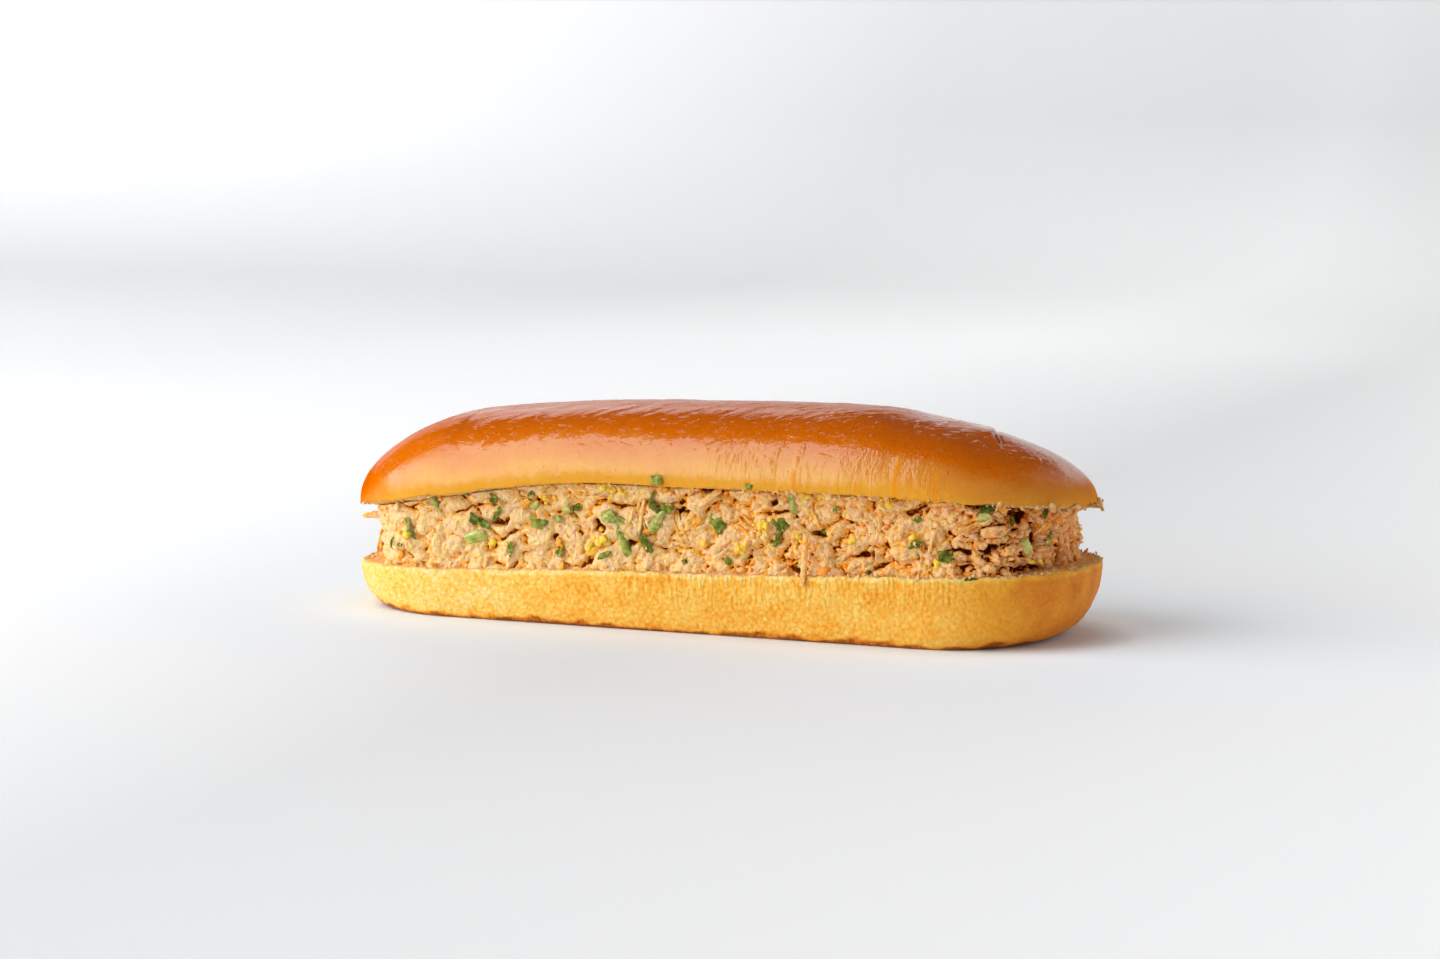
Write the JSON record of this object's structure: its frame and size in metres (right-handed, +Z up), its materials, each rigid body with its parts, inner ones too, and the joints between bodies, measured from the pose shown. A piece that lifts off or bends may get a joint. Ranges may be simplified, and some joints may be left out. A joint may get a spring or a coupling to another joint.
{
  "type": "tuna sandwich",
  "caption": "Long soft roll with a glazed top, cut through lengthways and filled with a thick bed of tuna salad and herbs.",
  "frame": {"origin": "centre of the flat underside", "axes": "+X along the roll towards its taller end, -Y the front, +Z up"},
  "size_m": [0.178, 0.058, 0.0498],
  "materials": {
    "heel_bread": "matte golden bread crust with a pale crumb at the cut",
    "tuna_salad": "moist, uneven, with flecks of green and yellow",
    "glazed_crust": "glossy egg glaze, browned on top and golden towards the cut"
  },
  "bodies": {
    "root": {"bun_bottom": "heel_bread", "tuna_filling": "tuna_salad", "bun_top": "glazed_crust"}
  },
  "joints": []
}
